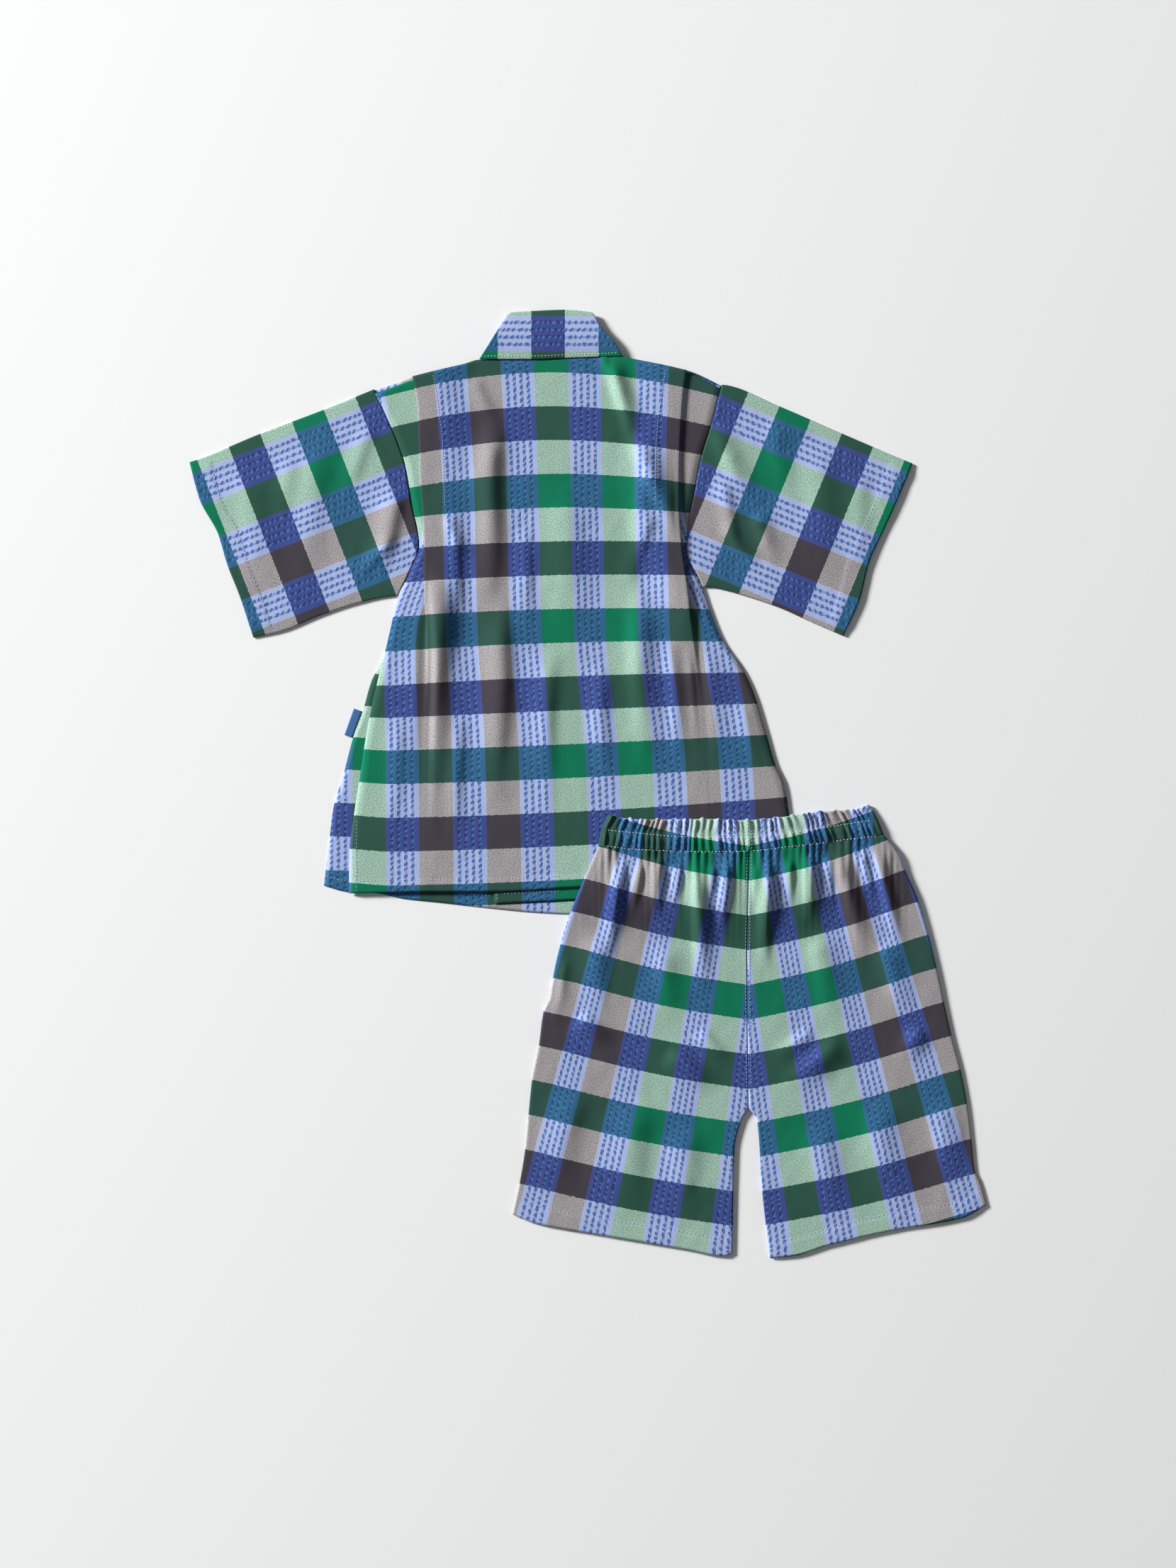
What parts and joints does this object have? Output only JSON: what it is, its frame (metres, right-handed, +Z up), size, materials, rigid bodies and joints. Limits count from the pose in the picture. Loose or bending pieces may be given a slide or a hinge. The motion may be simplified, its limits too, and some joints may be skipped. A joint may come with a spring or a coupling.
{
  "type": "jinbei set",
  "caption": "Child's jinbei laid flat: a wrap jacket face down with tucked shoulders and wide sleeves, and gathered shorts over its lower corner.",
  "frame": {"origin": "middle of the laid set's box, on the surface it lies on", "axes": "+Z up from the surface, towards the viewer; +Y from the shorts' hems towards the collar; +X to the right as seen from above"},
  "size_m": [0.6178, 0.7348, 0.0105],
  "materials": {
    "checked_seersucker": "matt yarn-dyed cotton, puckered stripes",
    "tie_cotton": "matt plain-woven cotton",
    "tab_cotton": "matt woven tape"
  },
  "bodies": {
    "root": {"back": "checked_seersucker", "front_left": "checked_seersucker", "front_right": "checked_seersucker", "sleeve_left": "checked_seersucker", "sleeve_right": "checked_seersucker", "collar_back": "checked_seersucker", "collar_left": "checked_seersucker", "collar_right": "checked_seersucker", "tie_outer_front": "tie_cotton", "tie_outer_side": "tie_cotton", "tie_inner_front": "tie_cotton", "tie_inner_side": "tie_cotton", "side_tab": "tab_cotton", "shorts_left": "checked_seersucker", "shorts_right": "checked_seersucker", "waistband": "checked_seersucker"}
  },
  "joints": []
}
